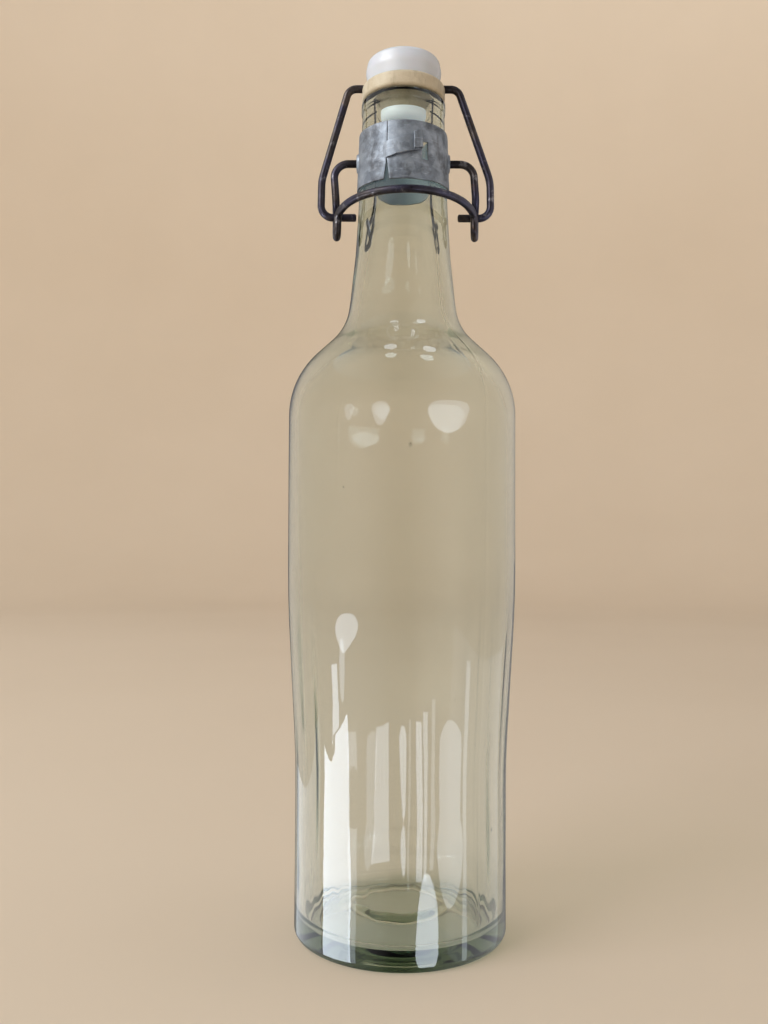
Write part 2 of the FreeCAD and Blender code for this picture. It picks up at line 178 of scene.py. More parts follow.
class Nodes:
    """Short names for building one node material."""

    def __init__(self, name):
        self.material = bpy.data.materials.new(name)
        self.material.use_nodes = True
        self.tree = self.material.node_tree
        self.tree.nodes.clear()
        self.output = self.tree.nodes.new("ShaderNodeOutputMaterial")
        self.place = self.tree.nodes.new("ShaderNodeTexCoord").outputs["Object"]

    def node(self, kind, **settings):
        made = self.tree.nodes.new(kind)
        for key, value in settings.items():
            setattr(made, key, value)
        return made

    def link(self, source, target):
        self.tree.links.new(source, target)

    def feed(self, target, value):
        """Link a socket, or set a plain value."""
        if isinstance(value, bpy.types.NodeSocket):
            self.link(value, target)
        else:
            target.default_value = value

    def stretched(self, scale, turn):
        """Object coordinates, turned and scaled per axis."""
        mapping = self.node("ShaderNodeMapping")
        mapping.inputs["Scale"].default_value = scale
        mapping.inputs["Rotation"].default_value = turn
        self.link(self.place, mapping.inputs["Vector"])
        return mapping.outputs["Vector"]

    def noise(self, scale, detail=4.0, roughness=0.5, stretch=(1, 1, 1), distortion=0.0, turn=(0, 0, 0)):
        made = self.node("ShaderNodeTexNoise")
        self.link(self.stretched(stretch, turn), made.inputs["Vector"])
        made.inputs["Scale"].default_value = scale
        made.inputs["Detail"].default_value = detail
        made.inputs["Roughness"].default_value = roughness
        made.inputs["Distortion"].default_value = distortion
        return made.outputs["Fac"]

    def cells(self, scale, feature="F1", output="Distance"):
        made = self.node("ShaderNodeTexVoronoi", feature=feature)
        self.link(self.place, made.inputs["Vector"])
        made.inputs["Scale"].default_value = scale
        return made.outputs[output]

    def ramp(self, source, stops):
        """Colour ramp from (position, colour) or (position, grey) stops."""
        made = self.node("ShaderNodeValToRGB")
        self.link(source, made.inputs["Fac"])
        elements = made.color_ramp.elements
        while len(elements) < len(stops):
            elements.new(0.5)
        for element, (position, colour) in zip(elements, stops):
            element.position = position
            if isinstance(colour, (int, float)):
                colour = (colour, colour, colour)
            element.color = (*colour, 1)
        return made.outputs["Color"]

    def mix(self, share, first, second):
        """Blend of two colours: all first at share 0, all second at 1."""
        made = self.node("ShaderNodeMix", data_type="RGBA")
        self.feed(made.inputs["Factor"], share)
        first_colour, second_colour, result = made.inputs[6], made.inputs[7], made.outputs[2]
        for socket, value in ((first_colour, first), (second_colour, second)):
            self.feed(socket, (*value, 1) if isinstance(value, tuple) else value)
        return result

    def math(self, operation, first, second=0.0):
        made = self.node("ShaderNodeMath", operation=operation)
        self.feed(made.inputs[0], first)
        self.feed(made.inputs[1], second)
        return made.outputs[0]

    def bump(self, height, depth_mm, strength, base=None):
        """Surface normal bent by a height pattern, on top of an earlier bump if one is given."""
        made = self.node("ShaderNodeBump")
        made.inputs["Strength"].default_value = strength
        made.inputs["Distance"].default_value = depth_mm * MM
        self.link(height, made.inputs["Height"])
        if base is not None:
            self.link(base, made.inputs["Normal"])
        return made.outputs["Normal"]

    def edge_wear(self):
        """Near 1 on sharp outer edges and 0 on flat or hollow places."""
        pointed = self.node("ShaderNodeNewGeometry").outputs["Pointiness"]
        return self.ramp(pointed, [(0.53, 0.0), (0.66, 1.0)])

    def faces_axis(self):
        """1 on faces that look inwards, towards the bottle's axis, and 0 on the others."""
        dot = self.node("ShaderNodeVectorMath", operation="DOT_PRODUCT")
        self.link(self.node("ShaderNodeNewGeometry").outputs["Normal"], dot.inputs[0])
        flat = self.node("ShaderNodeVectorMath", operation="MULTIPLY")
        flat.inputs[1].default_value = (1, 1, 0)
        self.link(self.place, flat.inputs[0])
        self.link(flat.outputs["Vector"], dot.inputs[1])
        clearly_inwards = -0.004
        return self.math("LESS_THAN", dot.outputs["Value"], clearly_inwards)

    def surface(self, colour, roughness, normal=None, **inputs):
        """Principled surface. Other inputs go by name, with _ for a space."""
        shader = self.node("ShaderNodeBsdfPrincipled")
        self.feed(shader.inputs["Base Color"], (*colour, 1) if isinstance(colour, tuple) else colour)
        self.feed(shader.inputs["Roughness"], roughness)
        if normal is not None:
            self.link(normal, shader.inputs["Normal"])
        for key, value in inputs.items():
            self.feed(shader.inputs[key.replace("_", " ")], value)
        self.link(shader.outputs[0], self.output.inputs["Surface"])
        return shader


# ---------------------------------------------------------------- materials

def glass_material():
    """Clear old glass, green where light travels far through it, faintly smudged and rippled."""
    made = Nodes("bottle_glass")
    smudge = made.ramp(made.noise(38, 5, 0.6), [(0.50, 0.0), (0.80, 0.05)])
    waves = made.bump(made.noise(60, 2, 0.4, stretch=(1, 1, 0.22)), 0.03, 0.3)
    shader = made.surface((0.99, 1.0, 0.995), smudge, waves, IOR=1.51, Transmission_Weight=1.0)
    clear = made.node("ShaderNodeBsdfTransparent")
    path = made.node("ShaderNodeLightPath")
    choose = made.node("ShaderNodeMixShader")
    made.link(path.outputs["Is Shadow Ray"], choose.inputs["Fac"])
    made.link(shader.outputs[0], choose.inputs[1])
    made.link(clear.outputs[0], choose.inputs[2])
    made.link(choose.outputs[0], made.output.inputs["Surface"])
    tint = made.node("ShaderNodeVolumeAbsorption")
    tint.inputs["Color"].default_value = (0.44, 0.56, 0.45, 1)
    tint.inputs["Density"].default_value = 64.0
    made.link(tint.outputs[0], made.output.inputs["Volume"])
    return made.material


def porcelain_material():
    """White glazed porcelain, slightly cool, with faint pooling, hair crazing and a few kiln specks.

    The head is painted a darker grey-blue and the stem a lighter white, and the stem glows faintly: painted
    shade and painted light, which even out the open head and the stem inside the glass neck."""
    made = Nodes("white_porcelain")
    height = made.node("ShaderNodeSeparateXYZ")
    made.link(made.place, height.inputs[0])
    on_head = made.math("GREATER_THAN", height.outputs["Z"], LIP_HEIGHT * MM)
    # Painted shade and painted light: a darker colour on the head, and a lighter, faintly glowing one on the
    # stem.
    lit_and_shaded_glaze = made.mix(on_head, (0.93, 0.97, 1.0), (0.57, 0.62, 0.71))
    painted_stem_glow = made.math("MULTIPLY", made.math("SUBTRACT", 1.0, on_head), 0.30)
    cloud = made.mix(made.ramp(made.noise(70, 3), [(0.3, 0.0), (0.7, 0.25)]), lit_and_shaded_glaze, (0.78, 0.80, 0.82))
    speck = made.ramp(made.cells(260), [(0.035, 1.0), (0.06, 0.0)])
    sparse = made.math("MULTIPLY", speck, made.ramp(made.noise(45, 1), [(0.60, 0.0), (0.66, 1.0)]))
    specked = made.mix(made.math("MULTIPLY", sparse, 0.55), cloud, (0.30, 0.25, 0.20))
    craze = made.ramp(made.cells(260, "DISTANCE_TO_EDGE"), [(0.0, 0.07), (0.018, 0.0)])
    colour = made.mix(craze, specked, (0.42, 0.42, 0.42))
    roughness = made.ramp(made.noise(55, 4), [(0.3, 0.26), (0.75, 0.38)])
    normal = made.bump(made.noise(120, 2), 0.05, 0.35)
    made.surface(colour, roughness, normal, Coat_Weight=0.25, Coat_Roughness=0.22,
                 Subsurface_Weight=0.06, Subsurface_Scale=0.002,
                 Emission_Color=(0.78, 0.88, 1.0, 1), Emission_Strength=painted_stem_glow)
    return made.material


def rubber_material():
    """Aged tan rubber: mottled, grimy streaks down its side, finely cracked."""
    made = Nodes("tan_rubber")
    tans = [(0.3, (0.44, 0.375, 0.27)), (0.5, (0.54, 0.475, 0.355)), (0.7, (0.61, 0.56, 0.44))]
    base = made.ramp(made.noise(130, 5, 0.6), tans)
    stain = made.ramp(made.noise(260, 4, 0.7, stretch=(1, 1, 0.3)), [(0.50, 0.0), (0.72, 0.6)])
    colour = made.mix(stain, base, (0.22, 0.18, 0.12))
    crack = made.ramp(made.cells(420, "DISTANCE_TO_EDGE"), [(0.0, 0.0), (0.06, 1.0)])
    normal = made.bump(crack, 0.05, 0.5, made.bump(made.noise(1400, 3), 0.03, 0.5))
    made.surface(colour, made.ramp(made.noise(150, 3), [(0.3, 0.48), (0.7, 0.72)]), normal)
    return made.material


def wire_material():
    """Dark oxidised steel wire: brown-black scale, blue-violet temper film, rust and bright worn spots."""
    made = Nodes("dark_wire")
    browns = [(0.3, (0.016, 0.013, 0.015)), (0.55, (0.045, 0.036, 0.035)), (0.75, (0.120, 0.095, 0.085))]
    scale = made.ramp(made.noise(160, 6, 0.65), browns)
    temper = made.ramp(made.noise(95, 3), [(0.44, 0.0), (0.64, 0.8)])
    film = made.mix(temper, scale, (0.040, 0.038, 0.072))
    rust = made.ramp(made.noise(210, 5, 0.7), [(0.60, 0.0), (0.72, 0.6)])
    rusted = made.mix(rust, film, (0.120, 0.060, 0.030))
    worn = made.ramp(made.noise(260, 6, 0.7), [(0.57, 0.0), (0.72, 0.8)])
    colour = made.mix(worn, rusted, (0.34, 0.32, 0.33))
    roughness = made.ramp(made.noise(300, 5, 0.6), [(0.25, 0.24), (0.75, 0.52)])
    pits = made.ramp(made.cells(900), [(0.1, 0.0), (0.4, 1.0)])
    normal = made.bump(made.noise(500, 5, 0.6), 0.07, 0.7, made.bump(pits, 0.03, 0.4))
    made.surface(colour, roughness, normal, Metallic=0.7)
    return made.material


def zinc_material():
    """Galvanised sheet gone dull: blue-grey crystals, pale bloom, dark handling marks, scratches.

    Its face against the glass is painted a pale blue, less metallic and faintly glowing: painted light, for
    the light that the glass brings."""
    made = Nodes("mottled_zinc")
    blue_greys = [(0.2, (0.150, 0.172, 0.205)), (0.8, (0.23, 0.26, 0.30))]
    crystal = made.ramp(made.cells(360, output="Color"), blue_greys)
    bloom = made.ramp(made.noise(170, 6, 0.65), [(0.44, 0.0), (0.72, 0.75)])
    pale = made.mix(bloom, crystal, (0.40, 0.44, 0.50))
    grime = made.ramp(made.noise(120, 6, 0.65, distortion=0.3), [(0.49, 0.0), (0.66, 0.85)])
    dull = made.mix(grime, pale, (0.050, 0.050, 0.056))
    rubbed = made.mix(made.math("MULTIPLY", made.edge_wear(), 0.3), dull, (0.46, 0.48, 0.51))
    scratches = None
    for slant, length in ((0.35, 6.0), (-0.6, 9.0), (1.2, 7.0)):
        marks = made.noise(300, 3, 0.7, stretch=(0.5, 0.5, length), distortion=0.3, turn=(0, slant, 0))
        sharp = made.ramp(marks, [(0.675, 0.0), (0.70, 1.0)])
        scratches = sharp if scratches is None else made.math("MAXIMUM", scratches, sharp)
    inside = made.faces_axis()
    scratched = made.mix(made.math("MULTIPLY", scratches, 0.45), rubbed, (0.52, 0.55, 0.60))
    # Painted light: the faces towards the axis get a pale blue colour.
    colour = made.mix(inside, scratched, (0.74, 0.80, 0.86))
    roughness = made.ramp(made.noise(210, 5, 0.6), [(0.3, 0.40), (0.7, 0.66)])
    metallic = made.math("SUBTRACT", 0.55, made.math("MULTIPLY", inside, 0.5))
    grooves = made.bump(made.math("SUBTRACT", 1.0, scratches), 0.03, 0.6)
    fine = made.bump(made.noise(700, 4), 0.05, 0.6, grooves)
    normal = made.bump(made.noise(150, 4, 0.55), 0.25, 0.6, fine)
    # Painted light: a faint glowing on the faces towards the axis.
    made.surface(colour, roughness, normal, Metallic=metallic, Emission_Color=(0.60, 0.72, 1.0, 1),
                 Emission_Strength=made.math("MULTIPLY", inside, 0.10))
    return made.material


# ---------------------------------------------------------------- glass bottle

MOULD_SEAMS = (math.radians(42), math.radians(222))
SEAM_RIDGE = 0.07
SEAM_HALF_WIDTH = math.radians(0.6)
STEPS_ROUND_BOTTLE = 200
SEED_COUNT = 9


def bottle_angles():
    """Even steps round the bottle, with close ones in their place across each mould seam."""
    close_step = math.radians(0.55)
    angles = even_angles(STEPS_ROUND_BOTTLE)
    for seam in MOULD_SEAMS:
        angles = [angle for angle in angles if abs(angle - seam) > 4 * close_step]
        angles += [seam + close_step * step for step in range(-3, 4)]
    return sorted(angles)


def seam_ridge(angle):
    """Height in mm of the low ridge that the two halves of the mould leave on the outside."""
    return sum(SEAM_RIDGE * math.exp(-((angle - seam) / SEAM_HALF_WIDTH) ** 2) for seam in MOULD_SEAMS)


def outer_shift(angle, height):
    """Slight sag and orange peel of the blown outside, calm under the strap and at the base ring."""
    calm = fade(height, 4, 22) * (1 - fade(height, 195, 225))
    low = 1 - fade(height, 80, 120)
    sag = 0.10 * ripple(angle, height, 3.1, 1.3, 0.018) + 0.04 * ripple(angle, height, 7.7, 4.0, 0.03)
    flutes = 0.05 * ripple(angle, height, 31.3, 9.0, 0.020) + 0.05 * ripple(angle, height, 41.9, 5.0, 0.055)
    return calm * (sag + low * flutes + seam_ridge(angle))


def inner_shift(angle, height):
    """Uneven wall: broad thick and thin patches, and upright flutes low on the body."""
    calm = fade(height, 8, 24) * (1 - fade(height, 215, 232))
    low = 1 - fade(height, 80, 125)
    flutes = 0.34 * ripple(angle, height, 11.3, 6.0, 0.010) + 0.16 * ripple(angle, height, 17.9, 13.0, 0.022)
    return calm * (0.30 * ripple(angle, height, 23.5, 1.6, 0.012) + low * flutes)


def glass_outlines():
    """Outside from the centre of the base up to the lip, and inside from the lip down to the floor."""
    lip_rest = (BEAD_RADIUS + BORE_RADIUS) / 2
    shoulder_drop = 2.0
    outside = rounded_outline([
        (0.0, PUSH_UP[1], 0),
        (*PUSH_UP, PUSH_UP_ROUNDING),
        (BASE_RING_RADIUS, 0.0, 1.6),
        (WAIST_RADIUS, 0.0, 2.0),
        (WAIST_RADIUS, WAIST_HEIGHT, GENTLE_CURVE),
        (BODY_RADIUS, FULL_WIDTH_HEIGHT, GENTLE_CURVE),
        (BODY_RADIUS, SHOULDER_HEIGHT, SHOULDER_ROUNDING),
        (*NECK_FOOT, NECK_FOOT_ROUNDING),
        (*NECK_MIDDLE, GENTLE_CURVE),
        (*FINISH, 0.3),
        (BEAD_RADIUS, FINISH[1] + 0.8, BEAD_ROUNDING),
        (BEAD_RADIUS, LIP_HEIGHT, BEAD_ROUNDING),
        (lip_rest, LIP_HEIGHT, 0),
    ])
    inside = rounded_outline([
        (lip_rest, LIP_HEIGHT, 0),
        (BORE_RADIUS, LIP_HEIGHT, 1.6),
        (BORE_RADIUS, 228.0, 40.0),
        (NECK_MIDDLE[0] - NECK_WALL, NECK_MIDDLE[1], GENTLE_CURVE),
        (NECK_FOOT[0] - NECK_WALL, NECK_FOOT[1] - shoulder_drop, NECK_FOOT_ROUNDING),
        (BODY_RADIUS - WALL, SHOULDER_HEIGHT - shoulder_drop, SHOULDER_ROUNDING - WALL),
        (BODY_RADIUS - WALL, FULL_WIDTH_HEIGHT, GENTLE_CURVE),
        (WAIST_RADIUS - WALL, WAIST_HEIGHT, GENTLE_CURVE),
        (WAIST_RADIUS - WALL, FLOOR_HEIGHT, 3.8),
        (BASE_RING_RADIUS, FLOOR_HEIGHT, 2.0),
        (PUSH_UP[0], FLOOR_DOME_HEIGHT, PUSH_UP_ROUNDING),
        (0.0, FLOOR_DOME_HEIGHT, 0),
    ])
    return outside, inside[1:]


def add_seeds(mesh):
    """Small gas bubbles trapped in the wall, each an empty ellipsoid in the glass.

    Steps by the golden share spread their angles and heights evenly without a pattern."""
    golden = (math.sqrt(5) - 1) / 2
    for index in range(SEED_COUNT):
        angle = 2 * math.pi * golden * index + 0.4
        height = 24 + 130 * ((index * golden) % 1.0)
        wall_middle = WAIST_RADIUS - WALL / 2 + (BODY_RADIUS - WAIST_RADIUS) * fade(height, 58, 98)
        size = 0.16 + 0.18 * ((index * 0.37) % 1.0)
        place = Matrix.Translation(cylinder_point(angle, wall_middle, height))
        stretch = Matrix.Diagonal((size * MM, size * 0.7 * MM, size * 1.7 * MM, 1))
        shape = Matrix.Rotation(angle, 4, "Z") @ stretch
        made = bmesh.ops.create_icosphere(mesh, subdivisions=2, radius=1.0, matrix=place @ shape)
        faces = {face for vert in made["verts"] for face in vert.link_faces}
        bmesh.ops.reverse_faces(mesh, faces=list(faces))


def build_bottle(material):
    """Glass with its real inner and outer walls, so that light bends twice in it."""
    outside, inside = glass_outlines()
    floor_points = 14
    base_end = next(index for index, point in enumerate(outside) if point.x > BASE_RING_RADIUS + 1)
    floor_start = len(outside) + len(inside) - floor_points

    def shift(angle, height, index):
        if index < base_end or index > floor_start:
            return 0
        return outer_shift(angle, height) if index < len(outside) else inner_shift(angle, height)

    mesh = bmesh.new()
    add_lathe(mesh, outside + inside, bottle_angles(), shift)
    bmesh.ops.recalc_face_normals(mesh, faces=mesh.faces)
    add_seeds(mesh)
    glass = link_mesh(mesh, "glass", material)
    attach(glass, GLASS_BODY)
    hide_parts("bottle")
    return glass


# ---------------------------------------------------------------- strap round the neck

STRAP_GAP = 0.05
STRAP_THICKNESS = 0.6
FRONT_RADIUS = 14.2
SEAM_X = -5.1
SEAM_MOUTH_HEIGHT = 236.3
# Slot of the lock: left, right, low and high.
SLOT = (5.4, 7.3, 236.4, 241.9)
TONGUE_THICKNESS = 0.5
TONGUE_EDGES = (236.5, 241.7)
TONGUE_START_X = -4.6
TONGUE_FOLD_X = 4.6
TONGUE_STEPS = 12
FOLD_STEPS = 6
# Run of the tongue before it lies flat and after its fold, as (x along the strap, lift off it).
TONGUE_ROOT = ((-8.6, -0.45), (-7.2, -0.25), (-6.2, 0.05), (-5.4, 0.38), (TONGUE_START_X, 0.62))
TONGUE_END = ((3.9, 1.42), (3.2, 1.36), (2.7, 1.22))
# Creases beside the lock: start x and height, end x and height, ridge height, all in mm.
CREASES = (
    (-13.2, 237.6, -5.6, 236.0, 0.22),
    (-10.5, 243.5, -5.4, 241.2, 0.16),
    (7.6, 243.4, 12.6, 246.0, 0.14),
    (7.8, 236.0, 12.0, 233.0, 0.12),
    (-3.6, 234.8, 2.5, 231.4, 0.10),
)


def strap_radius(height):
    """Outside radius of the strap, which follows the neck's taper."""
    share = (height - NECK_MIDDLE[1]) / (FINISH[1] - NECK_MIDDLE[1])
    return NECK_MIDDLE[0] + share * (FINISH[0] - NECK_MIDDLE[0]) + STRAP_GAP + STRAP_THICKNESS


def seam_half_gap(height):
    """Half the seam's width in mm: a hair above the lock, opening to a V below it."""
    closed, opened = 0.03, 0.85
    return closed + opened * max(0.0, SEAM_MOUTH_HEIGHT - height) / (SEAM_MOUTH_HEIGHT - STRAP_LOW)


def crease_lift(x, height):
    """Outward push in mm of the creases that hand-closing the lock left in the sheet."""
    half_width = 0.55
    lift = 0.0
    for x0, z0, x1, z1, ridge in CREASES:
        run = Vector((x1 - x0, z1 - z0))
        here = Vector((x - x0, height - z0))
        share = min(1.0, max(0.0, here.dot(run) / run.length_squared))
        distance = (here - run * share).length
        lift += ridge * math.exp(-(distance / half_width) ** 2)
    return lift


def dents(x, y, height, depth):
    """Hand-beaten unevenness of thin sheet, never inwards."""
    broad = noise.noise(Vector((x, y, height)) * 0.22)
    small = noise.noise(Vector((x + 40, y, height)) * 0.65)
    return depth * (1.0 + 0.7 * broad + 0.45 * small)


def add_grid(mesh, columns, rows, place, hole=None):
    """Sheet of quads. place gives each crossing's point. hole says which quads are left out."""
    grid = [[mesh.verts.new(place(column, row)) for row in rows] for column in columns]
    for index in range(len(columns) - 1):
        for level in range(len(rows) - 1):
            middle = ((columns[index] + columns[index + 1]) / 2, (rows[level] + rows[level + 1]) / 2)
            if hole and hole(*middle):
                continue
            mesh.faces.new((grid[index][level], grid[index + 1][level], grid[index + 1][level + 1],
                            grid[index][level + 1]))


def stepped(low, high, step, fixed=()):
    """Even steps from low to high, moved onto the fixed values where they come close."""
    count = max(1, round((high - low) / step))
    values = [low + (high - low) * index / count for index in range(count + 1)]
    values = [value for value in values if all(abs(value - stop) > step * 0.55 for stop in fixed)]
    return sorted(values + list(fixed))


def add_strap_sheet(mesh):
    """The strap itself, open along the seam, with the slot of the lock cut through it."""
    seam = math.asin(SEAM_X / FRONT_RADIUS)
    left, right = (math.asin(edge / FRONT_RADIUS) for edge in SLOT[:2])
    columns = stepped(seam, seam + 2 * math.pi, 0.042, (left, right))
    rows = stepped(STRAP_LOW, STRAP_HIGH, 0.62, SLOT[2:])

    def place(angle, height):
        after_seam = (angle - seam) * FRONT_RADIUS
        before_seam = (seam + 2 * math.pi - angle) * FRONT_RADIUS
        gap = seam_half_gap(height) * (1 - fade(after_seam, 0, 4) - (1 - fade(before_seam, 0, 4)))
        turned = angle + gap / FRONT_RADIUS
        rear = (1 - math.cos(turned)) / 2
        low_edge = 1 - fade(height, STRAP_LOW, STRAP_LOW + 6)
        wavy = height + low_edge * (2.0 * rear + 0.10 * ripple(turned, 0, 5.5, 4, 1))
        curl = 0.28 * (1 - fade(min(after_seam, before_seam), 0, 2.2)) * (1 - fade(height, 234, 238))
        x = FRONT_RADIUS * math.sin(turned)
        y = -FRONT_RADIUS * math.cos(turned)
        front = 1 - fade(rear, 0.25, 0.45)
        lift = dents(x, y, height, 0.13) + curl + front * crease_lift(x, height)
        return cylinder_point(turned, strap_radius(wavy) + lift, wavy)

    def in_slot(angle, height):
        return left < angle < right and SLOT[2] < height < SLOT[3]

    add_grid(mesh, columns, rows, place, in_slot)


def tongue_path():
    """Run of the tongue as (x along the strap, lift off the strap) in mm."""
    path = list(TONGUE_ROOT)
    length = TONGUE_FOLD_X - TONGUE_START_X
    for step in range(1, TONGUE_STEPS + 1):
        share = step / TONGUE_STEPS
        path.append((TONGUE_START_X + length * share, 0.64 + 0.20 * math.sin(math.pi * share)))
    fold_lift, fold_radius = 1.02, 0.38
    for step in range(1, FOLD_STEPS + 1):
        turn = -math.pi / 2 + math.pi * step / FOLD_STEPS
        path.append((TONGUE_FOLD_X + fold_radius * math.cos(turn), fold_lift + fold_radius * math.sin(turn)))
    return path + list(TONGUE_END)


def add_tongue(mesh):
    """Tongue that crosses the seam, climbs to the slot and is folded back flat on itself."""
    path = tongue_path()
    fold_start = len(path) - FOLD_STEPS - len(TONGUE_END)

    def place(index, row):
        x, lift = path[index]
        climb = 2.5 * (x + 5.6) / 10.6
        low = TONGUE_EDGES[0] + climb + 0.18 * noise.noise(Vector((x * 0.7, 3.0, 0)))
        high = TONGUE_EDGES[1] + climb + 0.22 * noise.noise(Vector((x * 0.6, 9.0, 0)))
        if index > fold_start:
            low += 0.3
            high += 0.5
        height = low + (high - low) * row
        rise = lift + dents(x, 0, height, 0.07) + 0.12
        return cylinder_point(x / FRONT_RADIUS, strap_radius(height) + rise, height)

    add_grid(mesh, range(len(path)), stepped(0.0, 1.0, 0.09), place)


def add_boss(mesh, side):
    """Pressed eyelet round a pin hole: a soft cone out of the strap, a rim, and the hole's wall."""
    hole_radius = 1.3
    root = 12.9
    tip = highest_strap[0] / MM
    # From the cone's foot over the rim and into the hole, as (radius about the hinge line, reach along it).
    profile = [(3.6, root), (3.2, 13.9), (2.9, 14.5), (2.65, 14.85), (2.35, tip - 0.10), (2.1, tip),
               (1.6, tip), (hole_radius + 0.05, tip - 0.12), (hole_radius, tip - 0.35), (hole_radius, root)]
    pivot = frame_pivot_height()
    rings = []
    steps = 40
    for radius, reach in profile:
        ring = []
        for step in range(steps):
            turn = 2 * math.pi * step / steps
            uneven = 1 + 0.02 * math.sin(3 * turn + side)
            ring.append(mesh.verts.new(Vector((side * reach, radius * uneven * math.sin(turn),
                                               pivot + radius * uneven * math.cos(turn))) * MM))
        rings.append(ring)
    for low, high in zip(rings, rings[1:] + rings[:1]):
        for step in range(steps):
            after = (step + 1) % steps
            mesh.faces.new((low[step], low[after], high[after], high[step]))


def frame_pivot_height():
    """Height of the lever's hinge line above the base, in mm."""
    joints = frame["record"]["behaviour"]["joints"]
    return next(joint["pos_m"][2] for joint in joints if joint["name"] == "lever_pivot") / MM


def finish_strap_piece(mesh, name, material, thickness):
    """Give a piece its thickness, unless it is 0, and softly broken edges. Let it ride on the glass."""
    piece = link_mesh(mesh, name, material)
    if thickness:
        solid = piece.modifiers.new("thickness", "SOLIDIFY")
        solid.thickness = thickness * MM
        solid.offset = -1
        solid.use_even_offset = True
    bevel = piece.modifiers.new("broken_edges", "BEVEL")
    bevel.width = 0.12 * MM
    bevel.segments = 2
    bevel.limit_method = "ANGLE"
    bevel.angle_limit = math.radians(50)
    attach(piece, GLASS_BODY)
    return piece


def build_strap(material):
    """The strap in three pieces: its sheet, the tongue of the lock and the two eyelets."""
    sheet = bmesh.new()
    add_strap_sheet(sheet)
    strap = finish_strap_piece(sheet, "strap_sheet", material, STRAP_THICKNESS)
    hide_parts("neck_collar")
    tongue = bmesh.new()
    add_tongue(tongue)
    finish_strap_piece(tongue, "strap_tongue", material, TONGUE_THICKNESS)
    bosses = bmesh.new()
    for side in (1, -1):
        add_boss(bosses, side)
    bmesh.ops.recalc_face_normals(bosses, faces=bosses.faces)
    finish_strap_piece(bosses, "strap_eyelets", material, 0)


# ---------------------------------------------------------------- stage, light and camera

def build_stage():
    """Seamless pale floor that curves up into a surrounding wall, a hair under the glass."""
    mesh = bmesh.new()
    level = -0.2
    wall_radius, wall_height, wall_rounding = 2400.0, 2600.0, 900.0
    corners = [(0.0, level, 0), (wall_radius, level, wall_rounding), (wall_radius, wall_height, 0)]
    add_lathe(mesh, rounded_outline(corners, longest=200.0), even_angles(96))
    made = Nodes("pale_floor")
    tone = made.ramp(made.noise(3, 3), [(0.3, (0.69, 0.585, 0.460)), (0.7, (0.71, 0.605, 0.480))])
    made.surface(tone, 0.8, Specular_IOR_Level=0.2)
    floor = link_mesh(mesh, "stage_floor", made.material)
    floor.visible_glossy = False


def area_light(name, place, target, size, power, colour=(1, 1, 1), shape="RECTANGLE"):
    """Flat lamp at place that faces target and that the camera doesn't see."""
    data = bpy.data.lights.new(name, "AREA")
    data.shape = shape
    data.size, data.size_y = size
    data.energy = power
    data.color = colour
    lamp = bpy.data.objects.new(name, data)
    bpy.context.scene.collection.objects.link(lamp)
    lamp.location = place
    lamp.rotation_euler = (Vector(target) - Vector(place)).to_track_quat("-Z", "Y").to_euler()
    lamp.visible_camera = False
    return lamp


PANE_CENTRE = Vector((0, 0, 0.05))
PANE_DISTANCE = 1.2
PANE_COLOUR = (0.78, 0.88, 1.0)
# Panes that the glass mirrors: shape, side angles, rise angles, radiance.
PANES = {
    "left_pane": ("RECTANGLE", (-88, -55), (-31, -15.7), 11.0),
    "left_pane_edge": ("RECTANGLE", (-56, -48), (-28, -16.4), 3.0),
    "left_slit": ("RECTANGLE", (-76, -69), (-15.6, -10.4), 7.0),
    "left_spot": ("ELLIPSE", (-70, -42), (-10.2, -5.4), 4.5),
    "left_spot_tail": ("ELLIPSE", (-66, -58), (-14.0, -8.6), 3.0),
    "far_left_veil": ("RECTANGLE", (-150, -92), (-30, -15.0), 1.0),
    "near_left_pane": ("RECTANGLE", (-29, -12), (-19.3, -15.9), 4.6),
    "near_left_edge": ("ELLIPSE", (-38, -28), (-19.4, -15.9), 1.8),
    "near_slit": ("ELLIPSE", (-2, 4), (-20.0, -16.0), 4.4),
    "near_slit_twin": ("RECTANGLE", (6, 8), (-21.0, -15.6), 2.2),
    "near_right_slit": ("RECTANGLE", (14, 21), (-20.2, -15.8), 5.5),
    "near_right_twin": ("RECTANGLE", (23, 27), (-20.2, -15.0), 4.4),
    "near_right_edge": ("RECTANGLE", (31, 34), (-19.5, -14.0), 2.4),
    "near_right_pane": ("ELLIPSE", (16, 38), (-29, -19.6), 7.0),
    "right_panel": ("ELLIPSE", (37, 66), (-22, -14.8), 2.8),
    "right_veil": ("RECTANGLE", (45, 130), (-30, -9), 0.55),
    "right_slit": ("RECTANGLE", (67, 73), (-28, -10), 2.8),
    "shoulder_left": ("ELLIPSE", (-58, -48), (12.4, 15.2), 1.8),
    "shoulder_near_left": ("ELLIPSE", (-30, -13), (12.0, 15.6), 2.4),
    "shoulder_right": ("ELLIPSE", (24, 68), (11.6, 17), 2.3),
    "ceiling_left": ("ELLIPSE", (-95, -85), (80, 87), 3.2),
    "ceiling_right": ("ELLIPSE", (85, 95), (71, 79), 3.2),
}


def window(name, shape, side_angles, rise_angles, radiance):
    """Bright pane for the glass to mirror, given by the angles that it fills.

    Side angles are degrees from the front, positive to the right. Rise angles are degrees above level."""
    side = math.radians(sum(side_angles) / 2)
    rise = math.radians(sum(rise_angles) / 2)
    ahead = Vector((math.sin(side) * math.cos(rise), -math.cos(side) * math.cos(rise), math.sin(rise)))
    size = [PANE_DISTANCE * math.radians(high - low) for low, high in (side_angles, rise_angles)]
    power = radiance * math.pi * size[0] * size[1]
    area_light(name, PANE_CENTRE + ahead * PANE_DISTANCE, PANE_CENTRE, size, power, PANE_COLOUR, shape)


def keep_off(lamp, hidden):
    """Stop a lamp from shining on one object, so that its plain square never shows there."""
    unlit = bpy.data.collections.new(lamp.name + "_unlit")
    unlit.objects.link(hidden)
    lamp.light_linking.receiver_collection = unlit
    unlit.collection_objects[0].light_linking.link_state = "EXCLUDE"


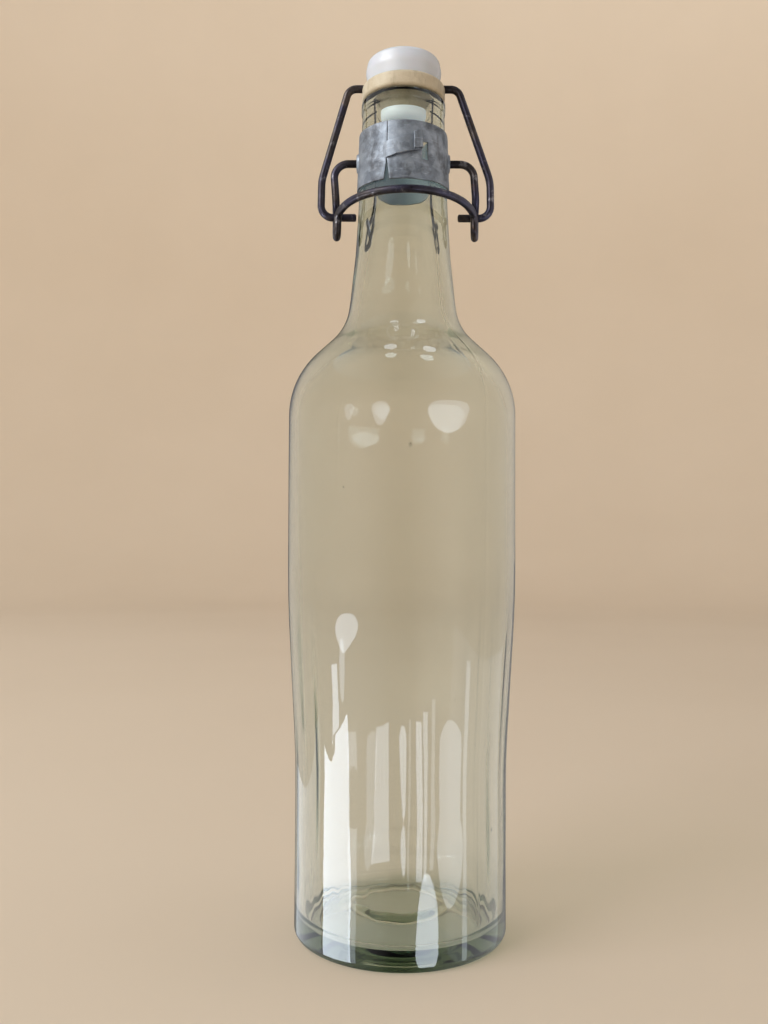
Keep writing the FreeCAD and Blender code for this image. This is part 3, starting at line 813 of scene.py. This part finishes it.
def build_world():
    """Soft room round the open-topped stage, dim in the middle and pale on both sides.

    Reflections see it through the floor."""
    world = bpy.data.worlds.new("soft_room")
    bpy.context.scene.world = world
    world.use_nodes = True
    tree = world.node_tree
    background = tree.nodes["Background"]
    ray = tree.nodes.new("ShaderNodeTexCoord")
    split = tree.nodes.new("ShaderNodeSeparateXYZ")
    tree.links.new(ray.outputs["Generated"], split.inputs[0])
    ramp = tree.nodes.new("ShaderNodeValToRGB")
    remap = tree.nodes.new("ShaderNodeMapRange")
    remap.inputs["From Min"].default_value = -1.0
    tree.links.new(split.outputs["X"], remap.inputs["Value"])
    tree.links.new(remap.outputs["Result"], ramp.inputs["Fac"])
    # Greys from far left, at 0, to far right, at 1.
    stops = [(0.0, 0.95), (0.13, 0.9), (0.28, 0.50), (0.42, 0.06),
             (0.56, 0.05), (0.72, 0.45), (0.88, 0.9), (1.0, 0.95)]
    elements = ramp.color_ramp.elements
    while len(elements) < len(stops):
        elements.new(0.5)
    for element, (position, grey) in zip(elements, stops):
        element.position = position
        element.color = (grey, grey * 0.97, grey * 0.95, 1)
    tree.links.new(ramp.outputs["Color"], background.inputs["Color"])
    background.inputs["Strength"].default_value = 1.0


def build_light(glass):
    """Three soft lamps that leave the glass out, and the panes that it reflects."""
    middle = (0, 0, 0.13)
    lamps = [
        area_light("key_soft", (-1.6, -1.0, 1.5), middle, (1.3, 1.3), 36, (0.95, 0.98, 1.0)),
        area_light("front_soft", (-1.1, -1.3, 0.7), middle, (1.0, 0.8), 7, (0.93, 0.97, 1.0)),
        area_light("wall_soft", (0.2, 0.9, 2.3), (0, 2.5, 1.3), (2.0, 0.8), 12),
    ]
    for lamp in lamps:
        keep_off(lamp, glass)
    for name, settings in PANES.items():
        window(name, *settings)


def build_camera():
    """In front of the middle of the bottle, tipped up very slightly."""
    data = bpy.data.cameras.new("camera")
    data.sensor_width = 36.0
    data.lens = 33.05
    data.clip_start = 0.01
    data.clip_end = 50
    camera = bpy.data.objects.new("camera", data)
    bpy.context.scene.collection.objects.link(camera)
    camera.location = (-0.0055, -0.296, 0.1187)
    camera.rotation_euler = (math.radians(92.0), math.radians(-0.30), 0)
    bpy.context.scene.camera = camera


def deepen_light_paths():
    """Let light cross all the walls of the bottle, and leave out noisy mirror caustics."""
    cycles = bpy.context.scene.cycles
    cycles.max_bounces = 32
    cycles.transmission_bounces = 32
    cycles.glossy_bounces = 16
    cycles.transparent_max_bounces = 24
    cycles.caustics_reflective = False


# ---------------------------------------------------------------- assembly

bottle_glass = build_bottle(glass_material())
build_strap(zinc_material())

wire = wire_material()
CAD_FINISHES = {
    "lever_bail": (wire, "dark_wire"),
    "yoke_bail": (wire, "dark_wire"),
    "stopper": (porcelain_material(), "stopper_porcelain"),
    "seal": (rubber_material(), "seal_rubber"),
}
for node, (material, slot) in CAD_FINISHES.items():
    part = frame["nodes"][node]
    part.data.materials.clear()
    part.data.materials.append(material)

build_stage()
build_world()
build_light(bottle_glass)
build_camera()
deepen_light_paths()
bpy.context.scene.view_settings.view_transform = "Standard"
